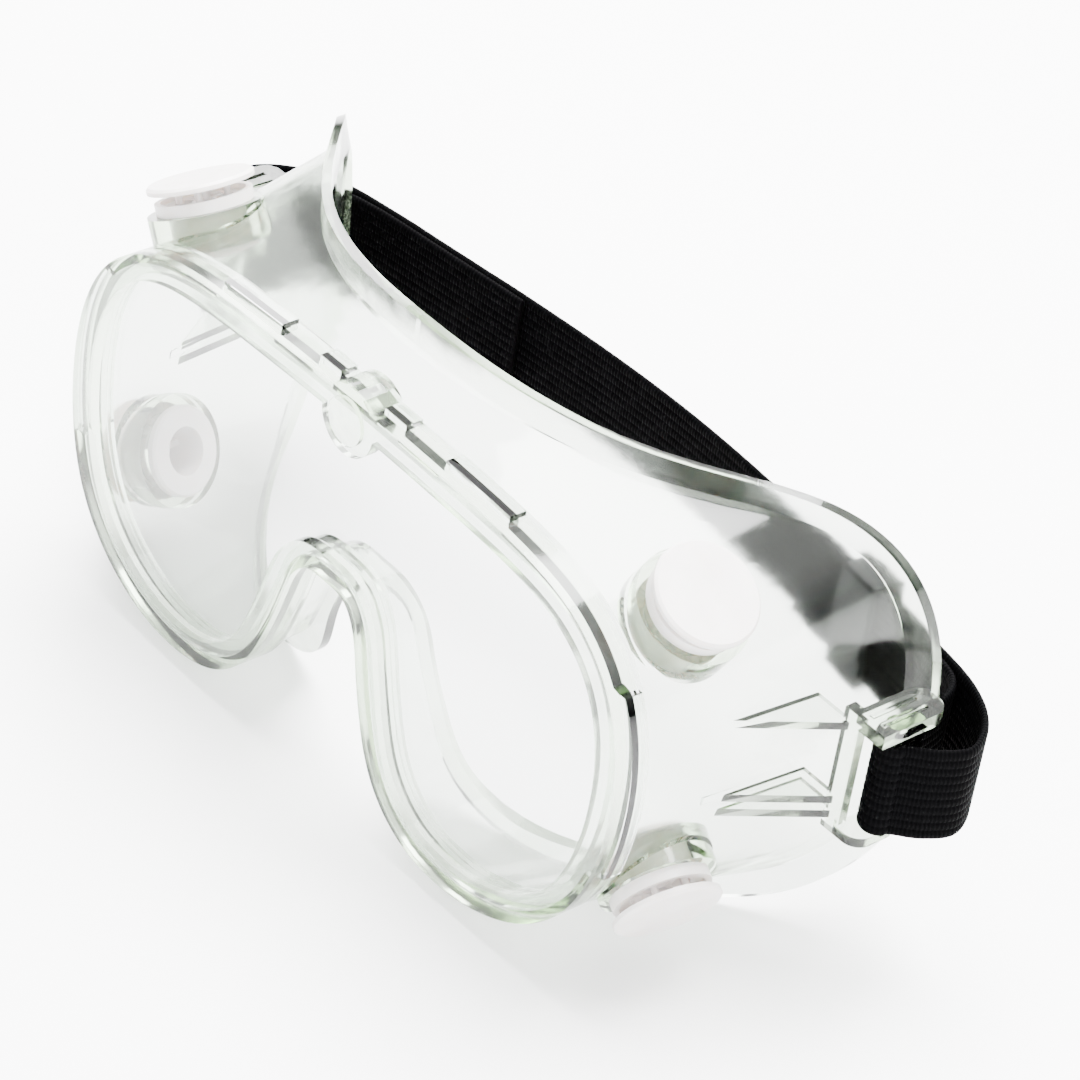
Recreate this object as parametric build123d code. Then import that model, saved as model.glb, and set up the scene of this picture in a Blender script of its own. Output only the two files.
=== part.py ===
from build123d import *

import math
import os

# Splash goggles: a soft clear frame, a snapped-in clear lens, four push-to-close vents, an elastic strap.
# Millimetres. +X is the wearer's left, -Y the way the wearer looks, +Z up. The goggles stand on z = 0.
# Sketches measure height from the middle of the lens rim and depth from the front of the rim.

# ---- lens rim and lens ----
RIM_TOP = 41.0
RIM_BOTTOM = -40.0
RIM_HALF_WIDTH = 77.0
RIM_DEPTH = 7.6
RIM_LIP = 5.0             # how far the front lip reaches over the lens
SEAT_LIP = 4.2            # how far the ledge behind the lens reaches in
LIP_THICKNESS = 2.6
GROOVE_WALL = 2.0         # rim left outside the lens groove
LENS_THICKNESS = 2.0
LENS_GAP = 0.15
LENS_CURVE = 2500.0       # radius of the lens seen from above
TAB_THICKNESS = 1.2
TAB_REACH = 6.5           # depth at which a snap tab's hook ends
TAB_GAP = 0.05            # play round a snap tab in its slot
TOP_TAB = (23.0, 40.0)    # across, from the middle
CENTRE_TAB = (6.2, 12.0)
SIDE_TAB = (-14.0, 24.0)  # up and down the side
PAD_RADIUS = 7.0          # round widening of the lip at the top centre
PAD_HEIGHT = 36.5
BUTTON_RADIUS = 4.7
BUTTON_RISE = 0.8

# ---- side wall and face seal ----
WALL_FRONT = 6.4          # where the wall starts, inside the rim
WALL_TUCK = 0.6           # how far inside the rim's outline it starts
WALL = 1.8
SEAL_WIDTH = 4.5
NOSE_SEAL_WIDTH = 2.2
SEAL_THICKNESS = 2.2
SEAL_SWEEP = 0.45         # how far the seal's edge lies back, per millimetre it stands out sideways

# ---- vents ----
VENT_PLACES = {
    "upper_left": ((67.3, 21.3, 31.8), (0.5, 0.0, 0.866)),
    "upper_right": ((-67.3, 21.3, 31.8), (-0.5, 0.0, 0.866)),
    "lower_left": ((71.4, 21.2, -23.0), (0.865, -0.21, -0.455)),
    "lower_right": ((-71.4, 21.2, -23.0), (-0.865, -0.21, -0.455)),
}
BOSS_RADIUS = 11.0
BOSS_INSIDE = -5.0        # heights along the vent, from the middle of the wall
BOSS_OUTSIDE = 2.5
VENT_CLEAR = 10.5
RETAINER_CLEAR = 9.2
NECK_RADIUS = 7.2
NECK_BORE = 5.6
NECK_GAP = 0.05
DISH_RADIUS = 9.2
DISH_FLOOR = 3.7
DISH_RIM = 4.7
DISH_RIM_WIDTH = 1.2
HUB_RADIUS = 2.3
HUB_BOTTOM = 0.5
SPOKE_WIDTH = 1.1
SPOKES = 4
CAP_RADIUS = 10.1
CAP_UNDER = 6.7           # underside of the open cap
CAP_TOP = 8.0
STEM_RADIUS = 1.2
STEM_GAP = 0.05
STEM_HEAD_RADIUS = 1.8
STEM_HEAD_TOP = 0.45
STEM_HEAD_BOTTOM = -1.2
POST_RADIUS = 0.7
POST_RING = 4.6
POST_BOTTOM = 2.2
RETAINER_RADIUS = 8.8
RETAINER_THICKNESS = 1.6
RETAINER_BORE = 4.7
SPIGOT_RADIUS = 5.55
SPIGOT_TOP = -2.6

# ---- strap lugs ----
LUG_TOP = 12.6            # underside of the upper arm
LUG_BOTTOM = -9.0         # upper side of the lower arm
LUG_ROOT = 77.9           # where the lug starts, inside the wall's thickness
WEB_IN = 86.4             # the upright plate that joins ribs and arms
WEB_OUT = 90.0
WEB_THICKNESS = 2.4
ARM_IN = 88.4
ARM_OUT = 96.4
ARM_FRONT = 44.5
ARM_BACK = 60.5
ARM_THICKNESS = 2.8
ARM_ROUND = 3.4
ARM_GROOVES = (90.9, 93.7)     # grooves along the top of the upper arm
FOOT_OUT = 95.4           # the smaller arm below the strap
FOOT_BACK = 55.5
FOOT_THICKNESS = 2.0
BAR_CENTRE = (93.4, 51.0)
BAR_RADIUS = 2.2
BAR_FIN = (3.4, 5.0)      # thickness and depth of the stiffening fin behind the bar
RIB_THICKNESS = 1.6
RIB_ROOT = (75.4, 24.0)   # across and deep, where the ribs start in the wall
RIB_OUT = 88.0
RIB_HEIGHTS = (11.2, -5.2, -8.4)

# ---- strap ----
STRAP_WIDTH = 19.5
STRAP_MIDDLE = 1.0        # height of the strap's middle
STRAP_THICKNESS = 1.4
STRAP_LOOP = BAR_RADIUS + 0.05 + STRAP_THICKNESS / 2
STRAIGHT_START = (75.0, 76.2)   # the straight stretch under the keeper
STRAIGHT_END = (41.0, 80.4)
STRAP_BACK = 83.0
LAYER_STEP = STRAP_THICKNESS + 0.25
KEEPER_WIDTH = 9.0
KEEPER_WALL = 1.5
KEEPER_GAP = 0.12
KEEPER_PLACE = 0.5        # along the straight stretch on the left
SEAM_LENGTH = 12.0        # where the right end is sewn down

RIM_HALF = [(0, RIM_TOP), (25, 40.4), (47, 38.6), (60.8, 34.5), (70.6, 26), (75.6, 15), (RIM_HALF_WIDTH, 2),
            (75.5, -11), (70.7, -23.5), (61.2, -33.5), (49.5, -38.8), (38, RIM_BOTTOM), (27.5, -37.5),
            (19.5, -31), (14.2, -20.5), (11, -9.8), (8.6, -2.8), (5.2, 0.8), (0, 1.4)]
# Where the wall's outside meets the face seal, (across, deep, up), point for point with the rim.
REAR_HALF = [(0, 15, 49.5), (25, 19.5, 47), (50, 34.5, 43.4), (67, 52, 39.3), (76.5, 61.5, 30),
             (80.3, 66.2, 17), (81.2, 68, 2.5), (81, 67.5, -11.5), (79.6, 63.5, -24), (74, 55, -33.5),
             (64, 43.5, -38), (48.5, 31, -39.5), (35, 24, -38.5), (24, 20.3, -33.5), (17.4, 18, -23), (13.2, 16.6, -12),
             (10.2, 15.8, -4.6), (6, 15.2, -1.2), (0, 15, -0.6)]


def whole(half):
    """A closed outline from its left half."""
    return half + [(-spot[0], *spot[1:]) for spot in reversed(half[1:-1])]


def widened(points, by, nose_by=None):
    """The outline moved outwards, point by point, with its own distance round the nose."""
    out = []
    count = len(points)
    for i, (x, z) in enumerate(points):
        (ax, az), (bx, bz) = points[i - 1], points[(i + 1) % count]
        tx, tz = bx - ax, bz - az
        size = math.hypot(tx, tz)
        near_nose = nose_by is not None and abs(x) < 24 and z < 10
        step = nose_by if near_nose else by
        out.append((x - tz / size * step, z + tx / size * step))
    return out


def spread(points):
    """Where each point comes along the closed outline, from 0 to 1."""
    steps = [math.dist(p, q) for p, q in zip(points, points[1:] + points[:1])]
    at = [0.0]
    for step in steps:
        at.append(at[-1] + step / sum(steps))
    return at


def closed_curve(spots, at):
    """A smooth closed curve that crosses the middle of the goggles level, at its first point."""
    level = Vector(1, 0, 0)
    corners = [Vector(*spot) for spot in spots + spots[:1]]
    return Edge.make_spline(corners, tangents=(level, level), parameters=at)


def prism(points):
    """The outline as a deep solid."""
    curve = closed_curve([(x, -8, z) for x, z in points], spread(points))
    return Solid.extrude(Face(Wire([curve])), Vector(0, 40, 0))


def sag(x):
    """How far the lens's curve has fallen back at this distance from the middle."""
    return LENS_CURVE - math.sqrt(LENS_CURVE ** 2 - x * x)


def make_wall():
    """The side wall and its flared seal: one ring, ruled between closed curves that run round the goggles."""
    rim, rear = whole(RIM_HALF), whole(REAR_HALF)
    flat = [(x, z) for x, y, z in rear]
    at = spread(rim)
    start = [(x, WALL_FRONT + sag(x), z) for x, z in widened(rim, -WALL_TUCK)]
    start_in = [(x, WALL_FRONT + sag(x), z) for x, z in widened(rim, -WALL_TUCK - WALL)]
    rear_in = [(x, y, z) for (x, z), (_, y, _) in zip(widened(flat, -WALL), rear)]
    step = []
    for near, far in zip(start, rear):
        share = SEAL_THICKNESS / (far[1] - near[1])
        step.append(tuple(f + (n - f) * share for n, f in zip(near, far)))
    edge = []
    for (x, z), (rear_x, y, _) in zip(widened(flat, SEAL_WIDTH, NOSE_SEAL_WIDTH), rear):
        edge.append((x, y + SEAL_SWEEP * abs(x - rear_x), z))
    edge_front = [(x, y - SEAL_THICKNESS, z) for x, y, z in edge]
    rings = [closed_curve(ring, at) for ring in (start, step, edge_front, edge, rear_in, start_in)]
    faces = [Face.make_surface_from_curves(one, two) for one, two in zip(rings, rings[1:] + rings[:1])]
    return Solid(Shell(faces))


def behind(depth):
    """Everything behind the surface that follows the lens's curve at this depth."""
    column = Cylinder(LENS_CURVE, 260).moved(Location((0, depth + LENS_CURVE, 0)))
    return column & Box(240, 130, 240).moved(Location((0, 60, 0)))


def layer(start, stop):
    """The layer between two depths that follows the lens's curve."""
    return behind(start) - behind(stop)


def block(x, y, z):
    """A box from three (low, high) pairs."""
    size = [high - low for low, high in (x, y, z)]
    middle = [(high + low) / 2 for low, high in (x, y, z)]
    return Box(*size).moved(Location(tuple(middle)))


def both_sides(solid):
    """The solid and its mirror image."""
    return [solid, solid.mirror(Plane.YZ)]


def tab_windows(extra):
    """Boxes round the lens's snap tabs, each larger by a clearance."""
    reach = 60.0
    windows = []
    for low, high in (TOP_TAB, CENTRE_TAB):
        windows += both_sides(block((low - extra, high + extra), (-5, 30), (20, reach)))
    low, high = SIDE_TAB
    windows += both_sides(block((50, 90), (-5, 40), (low - extra, high + extra)))
    return windows


def make_lens():
    """The curved pane with its hooked snap tabs."""
    rim = whole(RIM_HALF)
    start = LIP_THICKNESS + LENS_GAP
    pane = prism(widened(rim, -GROOVE_WALL - LENS_GAP)) & layer(start, start + LENS_THICKNESS)
    stalk = (prism(widened(rim, TAB_THICKNESS)) - prism(widened(rim, -GROOVE_WALL - 1.5)))
    stalk = stalk & layer(start, start + LENS_THICKNESS)
    hook = (prism(widened(rim, TAB_THICKNESS)) - prism(widened(rim, LENS_GAP))) & layer(start, TAB_REACH)
    lens = pane
    for window in tab_windows(0):
        lens = lens + (stalk & window) + (hook & window)
    return lens


def vent_plane(place):
    """The plane across a vent, on the wall, looking outwards."""
    origin, out = VENT_PLACES[place]
    return Plane(origin=origin, x_dir=(0, 1, 0), z_dir=out)


def disc(radius, low, high):
    """A round solid between two heights along the vent."""
    return Cylinder(radius, high - low).moved(Location((0, 0, (low + high) / 2)))


def make_vent_seat():
    """The dish outside the wall with its neck through it and the hub that guides the stem."""
    seat = disc(DISH_RADIUS, BOSS_OUTSIDE, DISH_RIM) - disc(DISH_RADIUS - DISH_RIM_WIDTH, DISH_FLOOR, CAP_TOP)
    seat = seat + disc(NECK_RADIUS, BOSS_INSIDE, BOSS_OUTSIDE + 0.5)
    seat = seat - disc(NECK_BORE, BOSS_INSIDE - 1, CAP_TOP)
    hub = disc(HUB_RADIUS, HUB_BOTTOM, DISH_FLOOR)
    for i in range(SPOKES):
        spoke = Box(NECK_BORE + 0.8, SPOKE_WIDTH, DISH_FLOOR - HUB_BOTTOM)
        spoke = spoke.moved(Location(((NECK_BORE + 0.8) / 2, 0, (DISH_FLOOR + HUB_BOTTOM) / 2)))
        hub = hub + spoke.rotate(Axis.Z, 360 / SPOKES * i)
    return seat + hub - disc(STEM_RADIUS + STEM_GAP, HUB_BOTTOM - 1, CAP_TOP)


def make_vent_cap():
    """The mushroom cap: a domed disc on a headed stem, with four locating posts."""
    crown = disc(CAP_RADIUS, CAP_UNDER, CAP_TOP)
    crown = chamfer(crown.edges().group_by(Axis.Z)[-1], 0.5)
    stem = disc(STEM_RADIUS, STEM_HEAD_BOTTOM, CAP_UNDER + 0.5)
    head = disc(STEM_HEAD_RADIUS, STEM_HEAD_BOTTOM, STEM_HEAD_TOP)
    head = chamfer(head.edges().group_by(Axis.Z)[0], 0.6)
    cap = crown + stem + head
    for i in range(SPOKES):
        post = disc(POST_RADIUS, POST_BOTTOM, CAP_UNDER + 0.5).moved(Location((POST_RING, 0, 0)))
        cap = cap + post.rotate(Axis.Z, 360 / SPOKES * (i + 0.5))
    return cap


def make_vent_retainer():
    """The ring that plugs into the neck inside the goggles and holds the seat in its boss."""
    ring = disc(RETAINER_RADIUS, BOSS_INSIDE - RETAINER_THICKNESS, BOSS_INSIDE)
    ring = chamfer(ring.edges().group_by(Axis.Z)[0], 0.5)
    ring = ring + disc(SPIGOT_RADIUS, BOSS_INSIDE - 0.5, SPIGOT_TOP)
    return ring - disc(RETAINER_BORE, -10, 0)


def make_lug():
    """The bracket on the left side wall: ribs and a plate that hold two arms with the strap bar between them."""
    web_depth = (ARM_FRONT, ARM_FRONT + WEB_THICKNESS)
    lug = block((WEB_IN, WEB_OUT), web_depth, (LUG_BOTTOM - FOOT_THICKNESS, LUG_TOP + ARM_THICKNESS))
    arm = block((ARM_IN, ARM_OUT), (ARM_FRONT, ARM_BACK), (LUG_TOP, LUG_TOP + ARM_THICKNESS))
    arm = fillet(arm.edges().filter_by(Axis.Z).group_by(Axis.Y)[-1], ARM_ROUND)
    for x in ARM_GROOVES:
        floor = LUG_TOP + ARM_THICKNESS - 0.6
        arm = arm - block((x - 0.5, x + 0.5), (ARM_FRONT + 2, ARM_BACK - 3.5), (floor, floor + 5))
    foot = block((ARM_IN, FOOT_OUT), (ARM_FRONT, FOOT_BACK), (LUG_BOTTOM - FOOT_THICKNESS, LUG_BOTTOM))
    foot = fillet(foot.edges().filter_by(Axis.Z).group_by(Axis.X)[-1], ARM_ROUND)
    x, y = BAR_CENTRE
    tall = LUG_TOP - LUG_BOTTOM + 2
    middle = (LUG_TOP + LUG_BOTTOM) / 2
    bar = Cylinder(BAR_RADIUS, tall).moved(Location((x, y, middle)))
    fin_width, fin_depth = BAR_FIN
    fin = Box(fin_width, fin_depth, tall).moved(Location((x, y + fin_depth / 2, middle)))
    lug = lug + arm + foot + bar + fin
    for height in RIB_HEIGHTS:
        tip, heel = (RIB_OUT, ARM_FRONT + 1), (LUG_ROOT, ARM_FRONT + 1)
        wedge = Polyline(RIB_ROOT, (RIB_OUT, ARM_FRONT), tip, heel, close=True)
        rib = extrude(make_face(wedge), RIB_THICKNESS)
        lug = lug + rib.moved(Location((0, 0, height)))
    return lug


def make_rim():
    """The lens rim with its groove, its ledge, the slots for the snap tabs and the pad at the top."""
    rim = whole(RIM_HALF)
    pad = Cylinder(PAD_RADIUS, 40, rotation=(90, 0, 0)).moved(Location((0, 0, PAD_HEIGHT)))
    groove_back = LIP_THICKNESS + LENS_THICKNESS + 2 * LENS_GAP
    groove = layer(LIP_THICKNESS, groove_back)
    ring = (prism(rim) + pad) & layer(0, RIM_DEPTH)
    ring = ring - ((prism(widened(rim, -RIM_LIP)) - pad) & layer(-1, groove_back))
    ring = ring - (prism(widened(rim, -SEAT_LIP)) & layer(groove_back, RIM_DEPTH + 1))
    ring = ring - (prism(widened(rim, -GROOVE_WALL)) & groove)
    for slot in tab_windows(TAB_GAP):
        ring = ring - (slot & groove)
    button = Cylinder(BUTTON_RADIUS, LIP_THICKNESS, rotation=(90, 0, 0))
    return ring + button.moved(Location((0, LIP_THICKNESS / 2 - BUTTON_RISE, PAD_HEIGHT)))


def make_frame_body():
    """The one-piece soft moulding: lens rim, side wall, face seal, vent bosses and strap lugs."""
    left = block((0, 130), (-20, 120), (-90, 90))
    half = (make_wall() & left) + (make_rim() & left) + make_lug()
    for place in ("upper_left", "lower_left"):
        at = vent_plane(place).location
        half = half + disc(BOSS_RADIUS, BOSS_INSIDE, BOSS_OUTSIDE).moved(at)
        half = half - disc(VENT_CLEAR, BOSS_OUTSIDE, CAP_TOP + 12).moved(at)
        half = half - disc(RETAINER_CLEAR, BOSS_INSIDE - 8, BOSS_INSIDE).moved(at)
        half = half - disc(NECK_RADIUS + NECK_GAP, BOSS_INSIDE - 1, BOSS_OUTSIDE + 1).moved(at)
    return half + half.mirror(Plane.YZ)


def straight_points(start, stop, count):
    """Evenly spaced points from one to the other."""
    dx, dy = (stop[0] - start[0]) / (count - 1), (stop[1] - start[1]) / (count - 1)
    return [(start[0] + dx * i, start[1] + dy * i) for i in range(count)]


def strap_line():
    """The middle of the strap's thickness from the left tail round the bar to the middle of the back."""
    dx, dy = STRAIGHT_END[0] - STRAIGHT_START[0], STRAIGHT_END[1] - STRAIGHT_START[1]
    size = math.hypot(dx, dy)
    step_x, step_y = -dy / size * LAYER_STEP, dx / size * LAYER_STEP
    tail_stop = (STRAIGHT_START[0] + step_x, STRAIGHT_START[1] + step_y)
    tail_start = (STRAIGHT_END[0] + step_x, STRAIGHT_END[1] + step_y)
    tail = straight_points(tail_start, tail_stop, 4)
    tail += [(80.7, 73.5), (85.8, 71.9), (88.8, 68.2), (90.1, 63), (90.4, 57.5)]
    bx, by = BAR_CENTRE
    loop = []
    for i in range(9):
        turn = math.radians(180 + 180 * i / 8)
        loop.append((bx + STRAP_LOOP * math.cos(turn), by + STRAP_LOOP * math.sin(turn)))
    run = [(100.4, 55.5), (102.4, 61.5), (97.6, 68.8), (88.8, 73.6)]
    run += straight_points(STRAIGHT_START, STRAIGHT_END, 4)
    return tail + loop + run + [(20, STRAP_BACK - 0.7), (0, STRAP_BACK)]


def make_strap():
    """One elastic band, folded round both bars."""
    half = strap_line()
    points = half + [(-x, y) for x, y in reversed(half[:-1])]
    middle = Edge.make_spline([Vector(x, y, 0) for x, y in points])
    count = 420
    sides = ([], [])
    for i in range(count + 1):
        spot, way = middle @ (i / count), middle % (i / count)
        for side, out in zip(sides, (STRAP_THICKNESS / 2, -STRAP_THICKNESS / 2)):
            side.append((spot.X - way.Y * out, spot.Y + way.X * out))
    with BuildPart() as made:
        with BuildSketch(Plane.XY.offset(STRAP_MIDDLE - STRAP_WIDTH / 2)):
            with BuildLine():
                Spline(*sides[0])
                Spline(*sides[1])
                Line(sides[0][0], sides[1][0])
                Line(sides[0][-1], sides[1][-1])
            make_face()
        extrude(amount=STRAP_WIDTH)
    gap = LAYER_STEP - STRAP_THICKNESS
    seam = Box(SEAM_LENGTH, gap + 0.4, STRAP_WIDTH).moved(Location((0, -LAYER_STEP / 2, 0)))
    return made.part + on_straight(seam).mirror(Plane.YZ)


def on_straight(solid):
    """The solid moved from the origin to the middle of the strap's straight stretch on the left."""
    dx, dy = STRAIGHT_END[0] - STRAIGHT_START[0], STRAIGHT_END[1] - STRAIGHT_START[1]
    spot = (STRAIGHT_START[0] + dx * KEEPER_PLACE, STRAIGHT_START[1] + dy * KEEPER_PLACE, STRAP_MIDDLE)
    turned = solid.rotate(Axis.Z, math.degrees(math.atan2(dy, dx)) + 180)
    return turned.moved(Location(spot))


def make_keeper():
    """The plastic loop that slides over both layers of the strap."""
    deep = STRAP_THICKNESS + LAYER_STEP + 2 * KEEPER_GAP
    tall = STRAP_WIDTH + 2 * KEEPER_GAP
    outer = Box(KEEPER_WIDTH, deep + 2 * KEEPER_WALL, tall + 2 * KEEPER_WALL)
    outer = fillet(outer.edges().filter_by(Axis.X), 1.0)
    keeper = outer - Box(KEEPER_WIDTH + 2, deep, tall)
    keeper = keeper.moved(Location((0, -LAYER_STEP / 2, 0)))
    return on_straight(keeper)


def make_all():
    """Every piece by name, still in the sketch's place."""
    pieces = {"frame_body": make_frame_body(), "lens": make_lens(), "head_strap": make_strap()}
    pieces["strap_keeper"] = make_keeper()
    seat, cap, retainer = make_vent_seat(), make_vent_cap(), make_vent_retainer()
    for place in VENT_PLACES:
        at = vent_plane(place).location
        pieces["vent_seat_" + place] = seat.moved(at)
        pieces["vent_cap_" + place] = cap.moved(at)
        pieces["vent_retainer_" + place] = retainer.moved(at)
    return pieces


pieces = make_all()
boxes = [piece.bounding_box() for piece in pieces.values()]
lowest = min(box.min.Z for box in boxes)
front, rear = min(box.min.Y for box in boxes), max(box.max.Y for box in boxes)
to_stand = Location((0, -(front + rear) / 2, -lowest))
os.makedirs("parts", exist_ok=True)
for name, piece in pieces.items():
    export_step(piece.moved(to_stand), "parts/" + name + ".step")
print("moved by", to_stand.position)
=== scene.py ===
import math

import bmesh
import bpy
from mathutils import Matrix, Vector


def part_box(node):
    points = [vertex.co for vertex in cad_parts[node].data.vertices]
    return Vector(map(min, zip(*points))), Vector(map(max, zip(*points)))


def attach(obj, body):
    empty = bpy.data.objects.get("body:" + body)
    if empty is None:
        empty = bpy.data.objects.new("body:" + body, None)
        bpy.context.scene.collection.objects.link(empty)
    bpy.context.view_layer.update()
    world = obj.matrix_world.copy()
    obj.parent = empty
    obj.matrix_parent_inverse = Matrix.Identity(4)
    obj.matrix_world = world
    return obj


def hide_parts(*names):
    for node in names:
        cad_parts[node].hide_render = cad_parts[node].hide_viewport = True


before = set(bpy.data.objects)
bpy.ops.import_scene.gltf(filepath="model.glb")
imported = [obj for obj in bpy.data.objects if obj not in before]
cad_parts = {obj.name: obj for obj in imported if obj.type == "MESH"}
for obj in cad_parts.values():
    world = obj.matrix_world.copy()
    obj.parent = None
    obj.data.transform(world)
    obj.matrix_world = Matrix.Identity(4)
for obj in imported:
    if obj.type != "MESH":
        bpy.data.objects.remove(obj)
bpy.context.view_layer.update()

# Splash goggles on a pale table. Metres, in the row frame: +X the wearer's left, -Y the way the wearer looks.
MM = 0.001

# ---- strap: millimetres, (across, deep), with the same route as in the part's source ----
STRAP_WIDTH = 19.5
STRAP_THICKNESS = 1.4
RIB_COUNT = 11
RIB_DEPTH = 0.24
STEPS_PER_RIB = 8
RIB_MARGIN = 0.5          # plain width left for the two edges
RIB_FLATNESS = 0.7        # below 1 the ribs are broad and the grooves narrow
EDGE_ROUND = 0.45         # share of the thickness where the edge starts to turn
EDGE_STEP = 0.02
STEPS_PER_SPAN = 12       # path points from one route point to the next
LOOP_STEPS = 8
BAR_CLEARANCE = 2.25      # the strap's inside, from the bar's centre
LAYER_STEP = STRAP_THICKNESS + 0.25
BAR_CENTRE = (93.4, 51.0)
STRAP_LOOP = BAR_CLEARANCE + STRAP_THICKNESS / 2
STRAIGHT_START = (75.0, 76.2)
STRAIGHT_END = (41.0, 80.4)
TAIL_TURN = [(80.7, 73.5), (85.8, 71.9), (88.8, 68.2), (90.1, 63), (90.4, 57.5)]
RUN_TURN = [(100.4, 55.5), (102.4, 61.5), (97.6, 68.8), (88.8, 73.6)]
STRAP_BACK = 83.0

# ---- camera and light ----
AZIMUTH, ELEVATION, ROLL = 44.2, 36.11, 9.84
FIELD = 11.51
DISTANCE = 0.95
AIM = (0.0201, -0.0098, 0.056)
SENSOR_WIDTH = 36.0
WORLD_STRENGTH = 2.6
HORIZON = (0.03, 0.032, 0.034, 1)
TABLE_REACH = 3.0
LAMP_AIM = (0, 0, 0.03)
LAMPS = (                 # name, place, size in metres, power in watts
    ("overhead", (-0.15, 0.25, 1.1), 0.9, 125),
    ("front", (0.9, -0.7, 0.8), 0.5, 26),
    ("back", (-0.8, 0.9, 0.5), 0.6, 30),
)


def mesh_object(name, bm, smooth=True):
    """A new object from a bmesh, smooth shaded."""
    mesh = bpy.data.meshes.new(name)
    bm.to_mesh(mesh)
    bm.free()
    for face in mesh.polygons:
        face.use_smooth = smooth
    piece = bpy.data.objects.new(name, mesh)
    bpy.context.scene.collection.objects.link(piece)
    return piece


# ---- materials ----
class Nodes:
    """A small helper for writing one material's nodes."""

    def __init__(self, name):
        self.material = bpy.data.materials.new(name)
        self.material.use_nodes = True
        self.tree = self.material.node_tree
        self.shader = self.tree.nodes["Principled BSDF"]
        self.output = self.tree.nodes["Material Output"]

    def put(self, node, socket, value):
        """Links a node's output to the socket, or sets the socket's value."""
        if isinstance(value, bpy.types.NodeSocket):
            self.tree.links.new(value, node.inputs[socket])
        else:
            node.inputs[socket].default_value = value

    def ramp(self, factor, low, high, start=0.0, stop=1.0):
        """A colour between low and high as factor runs from start to stop."""
        node = self.tree.nodes.new("ShaderNodeValToRGB")
        node.color_ramp.elements[0].color = (*low, 1)
        node.color_ramp.elements[1].color = (*high, 1)
        node.color_ramp.elements[0].position = start
        node.color_ramp.elements[1].position = stop
        self.tree.links.new(factor, node.inputs["Fac"])
        return node.outputs["Color"]

    def spread(self, factor, low, high):
        """A number between low and high as factor runs from 0 to 1."""
        node = self.tree.nodes.new("ShaderNodeMapRange")
        node.inputs["To Min"].default_value = low
        node.inputs["To Max"].default_value = high
        self.tree.links.new(factor, node.inputs["Value"])
        return node.outputs["Result"]

    def noise(self, scale, detail=3.0, roughness=0.5):
        """Noise in the object's own coordinates; scale is in cells per metre."""
        coords = self.tree.nodes.new("ShaderNodeTexCoord")
        node = self.tree.nodes.new("ShaderNodeTexNoise")
        node.inputs["Scale"].default_value = scale
        node.inputs["Detail"].default_value = detail
        node.inputs["Roughness"].default_value = roughness
        self.tree.links.new(coords.outputs["Object"], node.inputs["Vector"])
        return node.outputs["Fac"]

    def bump(self, height, strength, distance):
        """Raises the surface by height."""
        node = self.tree.nodes.new("ShaderNodeBump")
        node.inputs["Strength"].default_value = strength
        node.inputs["Distance"].default_value = distance
        self.tree.links.new(height, node.inputs["Height"])
        self.tree.links.new(node.outputs["Normal"], self.shader.inputs["Normal"])


def soft_vinyl():
    """Clear flexible vinyl: faintly green where it is thick, with moulding ripples."""
    m = Nodes("soft_vinyl")
    ripple = m.noise(55, 2.0)
    fine = m.noise(900, 2.0)
    m.put(m.shader, "Base Color", m.ramp(ripple, (0.93, 0.955, 0.945), (0.975, 0.985, 0.98), 0.3, 0.7))
    m.put(m.shader, "Roughness", m.spread(fine, 0.05, 0.14))
    m.shader.inputs["Transmission Weight"].default_value = 1.0
    m.shader.inputs["IOR"].default_value = 1.44
    m.bump(ripple, 0.35, 0.0006)
    haze = m.tree.nodes.new("ShaderNodeVolumeAbsorption")
    haze.inputs["Color"].default_value = (0.75, 0.82, 0.70, 1)
    haze.inputs["Density"].default_value = 210.0
    m.tree.links.new(haze.outputs["Volume"], m.output.inputs["Volume"])
    return m.material


def clear_lens():
    """Polished polycarbonate with the faintest waviness."""
    m = Nodes("clear_lens")
    wave = m.noise(30, 1.0)
    m.put(m.shader, "Base Color", m.ramp(wave, (0.965, 0.98, 0.985), (0.985, 0.99, 0.99)))
    m.put(m.shader, "Roughness", m.spread(m.noise(400, 4.0), 0.0, 0.035))
    m.shader.inputs["Transmission Weight"].default_value = 1.0
    m.shader.inputs["IOR"].default_value = 1.5
    m.bump(wave, 0.05, 0.0003)
    return m.material


def milky_plastic():
    """Moulded plastic, slightly translucent, with a warm cast."""
    m = Nodes("milky_plastic")
    cloud = m.noise(160, 4.0)
    m.put(m.shader, "Base Color", m.ramp(cloud, (0.78, 0.72, 0.695), (0.86, 0.81, 0.79), 0.3, 0.7))
    m.put(m.shader, "Roughness", m.spread(m.noise(1200, 3.0), 0.28, 0.42))
    m.shader.inputs["Transmission Weight"].default_value = 0.08
    m.shader.inputs["Subsurface Weight"].default_value = 0.35
    m.shader.inputs["Subsurface Radius"].default_value = (0.004, 0.003, 0.0025)
    m.shader.inputs["Subsurface Scale"].default_value = 1.0
    m.shader.inputs["IOR"].default_value = 1.45
    m.bump(m.noise(700, 2.0), 0.12, 0.0001)
    return m.material


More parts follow.
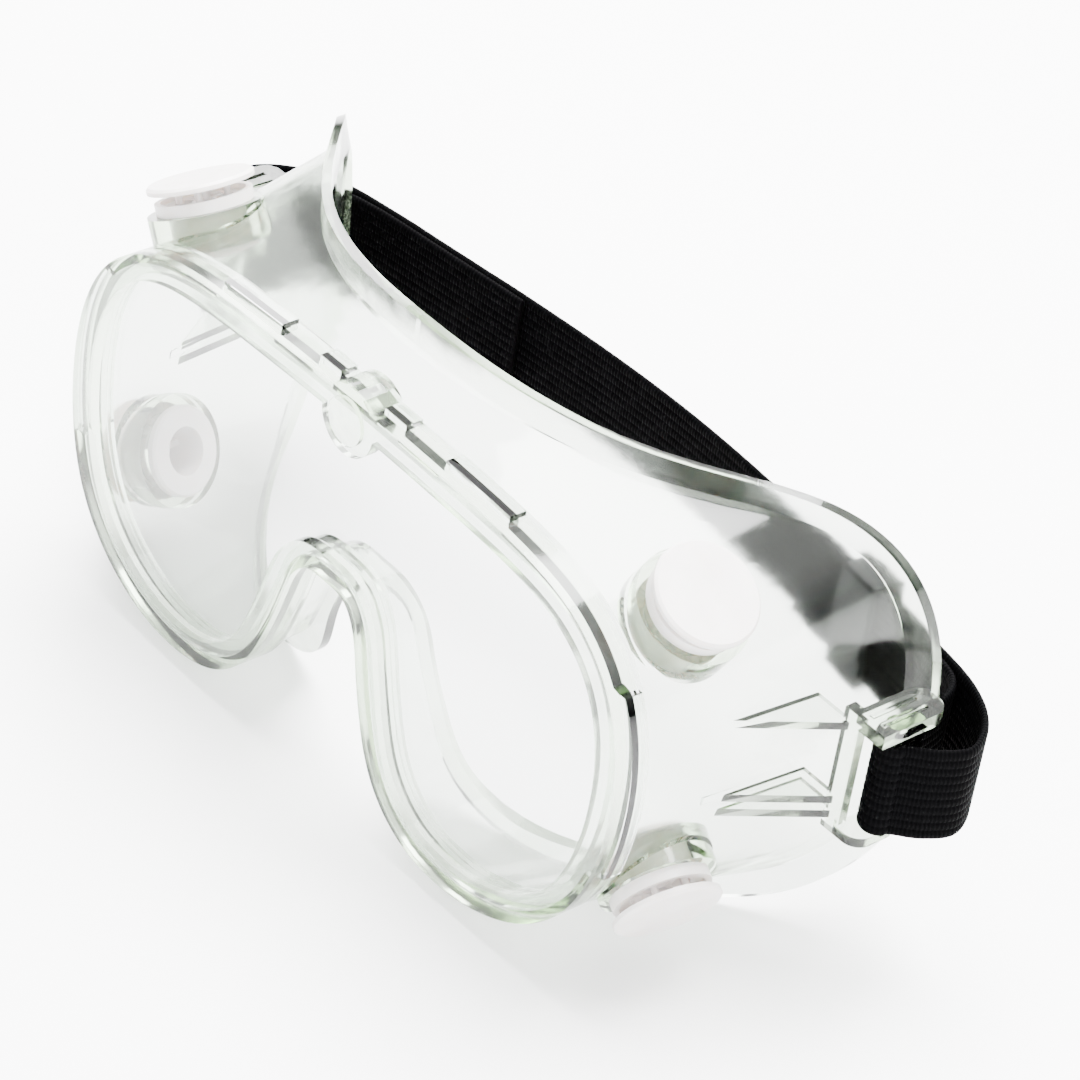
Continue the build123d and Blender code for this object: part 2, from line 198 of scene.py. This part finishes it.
def black_elastic():
    """Black elastic with knitted courses across it; the ribs along it are in the mesh."""
    m = Nodes("black_elastic")
    uv = m.tree.nodes.new("ShaderNodeUVMap")
    uv.uv_map = "along"
    knit = m.tree.nodes.new("ShaderNodeTexWave")
    knit.wave_type = "BANDS"
    knit.bands_direction = "X"
    knit.inputs["Scale"].default_value = 420.0
    knit.inputs["Distortion"].default_value = 1.2
    knit.inputs["Detail"].default_value = 2.0
    m.tree.links.new(uv.outputs["UV"], knit.inputs["Vector"])
    fuzz = m.noise(2600, 4.0)
    thread = m.ramp(knit.outputs["Fac"], (0.0002, 0.0002, 0.0003), (0.0009, 0.0009, 0.0011))
    m.put(m.shader, "Base Color", thread)
    m.put(m.shader, "Roughness", m.spread(fuzz, 0.62, 0.9))
    m.shader.inputs["Specular IOR Level"].default_value = 0.015
    m.bump(knit.outputs["Fac"], 0.6, 0.0002)
    return m.material


def black_plastic():
    """Satin black moulded plastic with a fine spark-eroded grain."""
    m = Nodes("black_plastic")
    grain = m.noise(3500, 3.0)
    m.put(m.shader, "Base Color", m.ramp(grain, (0.0012, 0.0012, 0.0014), (0.0035, 0.0035, 0.0038)))
    m.put(m.shader, "Roughness", m.spread(grain, 0.32, 0.5))
    m.shader.inputs["Specular IOR Level"].default_value = 0.08
    m.bump(grain, 0.2, 0.00008)
    return m.material


def pale_table():
    """A matt white surface."""
    m = Nodes("pale_table")
    m.put(m.shader, "Base Color", m.ramp(m.noise(6, 2.0), (0.93, 0.93, 0.935), (0.96, 0.96, 0.96)))
    m.shader.inputs["Roughness"].default_value = 0.9
    m.shader.inputs["Specular IOR Level"].default_value = 0.2
    return m.material


def dress(piece, material):
    """Gives the piece this one material."""
    piece.data.materials.clear()
    piece.data.materials.append(material)


vinyl, lens_clear, milky = soft_vinyl(), clear_lens(), milky_plastic()
dress(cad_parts["frame_body"], vinyl)
dress(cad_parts["lens"], lens_clear)
for name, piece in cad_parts.items():
    if name.startswith("vent_"):
        dress(piece, milky)
dress(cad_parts["strap_keeper"], black_plastic())


# ---- strap ----
def smooth_path(spots, per_span):
    """Points along a smooth curve through the spots."""
    points = []
    padded = [2 * spots[0] - spots[1]] + spots + [2 * spots[-1] - spots[-2]]
    for i in range(1, len(padded) - 2):
        before, here, there, after = padded[i - 1:i + 3]
        for j in range(per_span):
            t = j / per_span
            points.append(0.5 * (2 * here + (there - before) * t
                                 + (2 * before - 5 * here + 4 * there - after) * t ** 2
                                 + (3 * here - before - 3 * there + after) * t ** 3))
    return points + [spots[-1]]


def strap_route():
    """The middle of the strap's thickness, from the left tail round the bar to the middle of the back."""
    start, stop = Vector(STRAIGHT_START), Vector(STRAIGHT_END)
    run = stop - start
    inward = Vector((-run.y, run.x)).normalized() * LAYER_STEP
    spots = [stop + inward, stop + inward - run / 3, start + inward + run / 3, start + inward]
    spots += [Vector(spot) for spot in TAIL_TURN]
    for i in range(LOOP_STEPS + 1):
        turn = math.pi * (1 + i / LOOP_STEPS)
        spots.append(Vector(BAR_CENTRE) + STRAP_LOOP * Vector((math.cos(turn), math.sin(turn))))
    spots += [Vector(spot) for spot in RUN_TURN]
    spots += [start, start + run / 3, stop - run / 3, stop]
    spots += [Vector((20, STRAP_BACK - 0.7)), Vector((0, STRAP_BACK))]
    return spots


def ribbed_section():
    """The strap's cross-section, (out from the middle, across), round once, in millimetres."""
    half_width, half_thick = STRAP_WIDTH / 2, STRAP_THICKNESS / 2
    count = RIB_COUNT * STEPS_PER_RIB
    face = []
    for i in range(count + 1):
        share = i / count
        across = (share - 0.5) * (STRAP_WIDTH - RIB_MARGIN)
        rib = abs(math.sin(math.pi * RIB_COUNT * share)) ** RIB_FLATNESS
        face.append((half_thick - RIB_DEPTH * (1 - rib), across))
    turn, short = half_thick * EDGE_ROUND, half_width - EDGE_STEP
    edge = [(turn, short), (0, half_width), (-turn, short)]
    back = [(-out, across) for out, across in reversed(face)]
    other_edge = [(-out, -across) for out, across in edge]
    return face + edge + back + other_edge


def make_strap():
    """The ribbed elastic band, swept along its route."""
    low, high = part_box("head_strap")
    shift = Vector((0, high[1] / MM - STRAP_BACK - STRAP_THICKNESS / 2))
    middle = (high[2] + low[2]) / 2
    left = strap_route()
    spots = left + [Vector((-spot.x, spot.y)) for spot in reversed(left[:-1])]
    path = smooth_path(spots, STEPS_PER_SPAN)
    section = ribbed_section()
    bm = bmesh.new()
    layer = bm.loops.layers.uv.new("along")
    rings, lengths, gone = [], [], 0.0
    for i, spot in enumerate(path):
        way = (path[min(i + 1, len(path) - 1)] - path[max(i - 1, 0)]).normalized()
        side = Vector((-way.y, way.x))
        gone += (spot - path[i - 1]).length if i else 0.0
        lengths.append(gone * MM)
        ring = []
        for out, across in section:
            place = spot + shift + side * out
            ring.append(bm.verts.new((place.x * MM, place.y * MM, middle + across * MM)))
        rings.append(ring)
    count = len(section)
    for i in range(len(rings) - 1):
        for j in range(count):
            k = (j + 1) % count
            face = bm.faces.new((rings[i][j], rings[i][k], rings[i + 1][k], rings[i + 1][j]))
            marks = ((i, j), (i, k), (i + 1, k), (i + 1, j))
            for loop, (row, column) in zip(face.loops, marks):
                loop[layer].uv = (lengths[row], section[column][1] * MM)
    bm.faces.new(rings[0][::-1])
    bm.faces.new(rings[-1])
    bmesh.ops.recalc_face_normals(bm, faces=bm.faces)
    strap = mesh_object("ribbed_strap", bm)
    dress(strap, black_elastic())
    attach(strap, "goggles")
    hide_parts("head_strap")
    return strap


make_strap()


# ---- table, light and camera ----
def make_table():
    """A wide pale surface under the goggles."""
    bm = bmesh.new()
    bmesh.ops.create_grid(bm, x_segments=4, y_segments=4, size=TABLE_REACH)
    table = mesh_object("table", bm, smooth=False)
    dress(table, pale_table())


def area_light(name, place, size, power):
    """A square soft light at place, shining at the goggles."""
    data = bpy.data.lights.new(name, "AREA")
    data.energy = power
    data.size = size
    lamp = bpy.data.objects.new(name, data)
    lamp.location = place
    lamp.rotation_euler = (Vector(LAMP_AIM) - Vector(place)).to_track_quat("-Z", "Y").to_euler()
    bpy.context.scene.collection.objects.link(lamp)


def make_world():
    """A studio room: white overhead, nearly black at the horizon."""
    world = bpy.data.worlds.new("room")
    bpy.context.scene.world = world
    world.use_nodes = True
    tree = world.node_tree
    background = tree.nodes["Background"]
    coords = tree.nodes.new("ShaderNodeTexCoord")
    parts = tree.nodes.new("ShaderNodeSeparateXYZ")
    fade = tree.nodes.new("ShaderNodeValToRGB")
    fade.color_ramp.elements[0].color = HORIZON
    fade.color_ramp.elements[1].color = (1, 1, 1, 1)
    fade.color_ramp.elements[1].position = 0.6
    tree.links.new(coords.outputs["Generated"], parts.inputs["Vector"])
    tree.links.new(parts.outputs["Z"], fade.inputs["Fac"])
    tree.links.new(fade.outputs["Color"], background.inputs["Color"])
    background.inputs["Strength"].default_value = WORLD_STRENGTH


def make_camera():
    """The camera, in front, to the wearer's left and above, a little tilted."""
    azimuth, elevation, roll = (math.radians(angle) for angle in (AZIMUTH, ELEVATION, ROLL))
    look = Vector((-math.sin(azimuth) * math.cos(elevation), math.cos(azimuth) * math.cos(elevation),
                   -math.sin(elevation)))
    level = look.cross(Vector((0, 0, 1))).normalized()
    right = level * math.cos(roll) + level.cross(look) * math.sin(roll)
    up = right.cross(look)
    turn = Matrix((right, up, -look)).transposed()
    data = bpy.data.cameras.new("camera")
    data.sensor_width = SENSOR_WIDTH
    data.lens = SENSOR_WIDTH / 2 / math.tan(math.radians(FIELD / 2))
    data.clip_start = 0.01
    camera = bpy.data.objects.new("camera", data)
    camera.matrix_world = Matrix.Translation(Vector(AIM) - look * DISTANCE) @ turn.to_4x4()
    bpy.context.scene.collection.objects.link(camera)
    bpy.context.scene.camera = camera


make_table()
make_world()
for lamp in LAMPS:
    area_light(*lamp)
make_camera()
